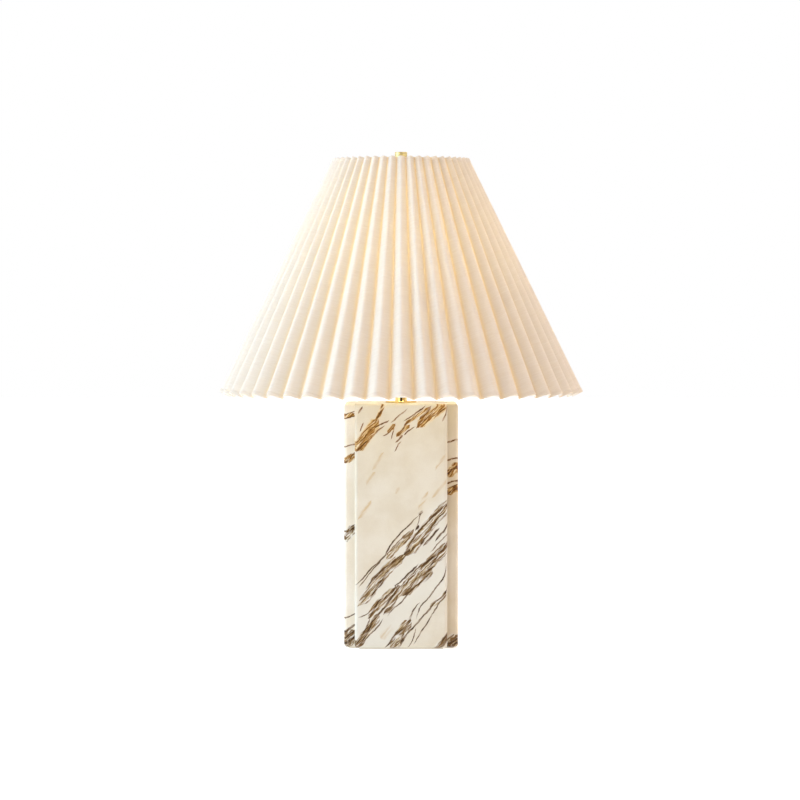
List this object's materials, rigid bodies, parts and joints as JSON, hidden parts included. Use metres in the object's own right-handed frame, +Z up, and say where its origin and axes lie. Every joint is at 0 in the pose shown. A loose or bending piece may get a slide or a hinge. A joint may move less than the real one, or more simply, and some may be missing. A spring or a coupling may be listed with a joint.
{
  "type": "table lamp",
  "caption": "Table lamp with a cross-plan marble column, brass neck, harp and finial, and a pleated fabric empire shade.",
  "frame": {"origin": "centre of the lamp's footprint, on the surface it stands on", "axes": "+Z up along the lamp's axis, -Y towards the front of the lamp, +X to the right as seen from the front"},
  "size_m": [0.458, 0.458, 0.62],
  "materials": {
    "marble": "honed to a soft polish, grey-brown diagonal veins",
    "brass": "polished",
    "plated_steel": "zinc plated",
    "felt": "pressed felt",
    "shade_linen": "pleated linen on a stiff backing",
    "white_wire": "white enamel",
    "black_rubber": "moulded",
    "black_phenolic": "moulded phenolic",
    "liner_board": "fibre board",
    "frosted_globe": "frosted, lit warm white",
    "bulb_plastic": "moulded white",
    "aluminium_board": "matt",
    "nickel_cap": "nickel plated",
    "black_glass": "pressed black glass"
  },
  "bodies": {
    "stand": {"felt_pad": "felt", "marble_core": "marble", "front_slab": "marble", "back_slab": "marble", "left_slab": "marble", "right_slab": "marble", "bottom_plate": "plated_steel", "bottom_washer": "plated_steel", "lock_washer": "plated_steel", "bottom_nut": "plated_steel", "cord_grommet": "black_rubber", "threaded_pipe": "plated_steel", "top_disc": "brass", "neck_tube": "brass", "harp_saddle": "brass", "saddle_nut": "plated_steel", "socket_cap": "brass", "cap_set_screw": "plated_steel", "socket_shell": "brass", "insulating_liner": "liner_board", "socket_body": "black_phenolic", "screw_shell": "brass", "centre_contact": "brass", "terminal_screws": "brass", "harp_bow": "brass", "harp_stud": "brass"},
    "switch": {"switch_shaft": "brass", "switch_knob": "black_phenolic"},
    "bulb": {"bulb_dome": "frosted_globe", "bulb_body": "bulb_plastic", "led_board": "aluminium_board", "bulb_cap": "nickel_cap", "bulb_insulator": "black_glass", "bulb_contact": "nickel_cap"},
    "sleeve_l": {"left_sleeve": "brass"},
    "sleeve_r": {"right_sleeve": "brass"},
    "shade": {"shade_fabric": "shade_linen", "top_ring": "white_wire", "bottom_ring": "white_wire", "spider_spokes": "white_wire", "spider_washer": "white_wire"},
    "finial": {"finial_knob": "brass"}
  },
  "joints": [
    {"name": "switch_turn", "type": "hinge", "parent": "stand", "child": "switch", "pos_m": [0, -0.03, 0.3806], "axis": [0, -1, 0], "continuous": true},
    {"name": "bulb_turn", "type": "hinge", "parent": "stand", "child": "bulb", "pos_m": [0, 0, 0.45], "axis": [0, 0, 1], "continuous": true},
    {"name": "left_sleeve_slide", "type": "slide", "parent": "stand", "child": "sleeve_l", "axis": [0, 0, 1], "range_m": [0, 0.02]},
    {"name": "right_sleeve_slide", "type": "slide", "parent": "stand", "child": "sleeve_r", "axis": [0, 0, 1], "range_m": [0, 0.02]},
    {"name": "shade_turn", "type": "hinge", "parent": "stand", "child": "shade", "pos_m": [0, 0, 0.6], "axis": [0, 0, 1], "continuous": true},
    {"name": "finial_turn", "type": "hinge", "parent": "stand", "child": "finial", "pos_m": [0, 0, 0.61], "axis": [0, 0, 1], "continuous": true}
  ]
}
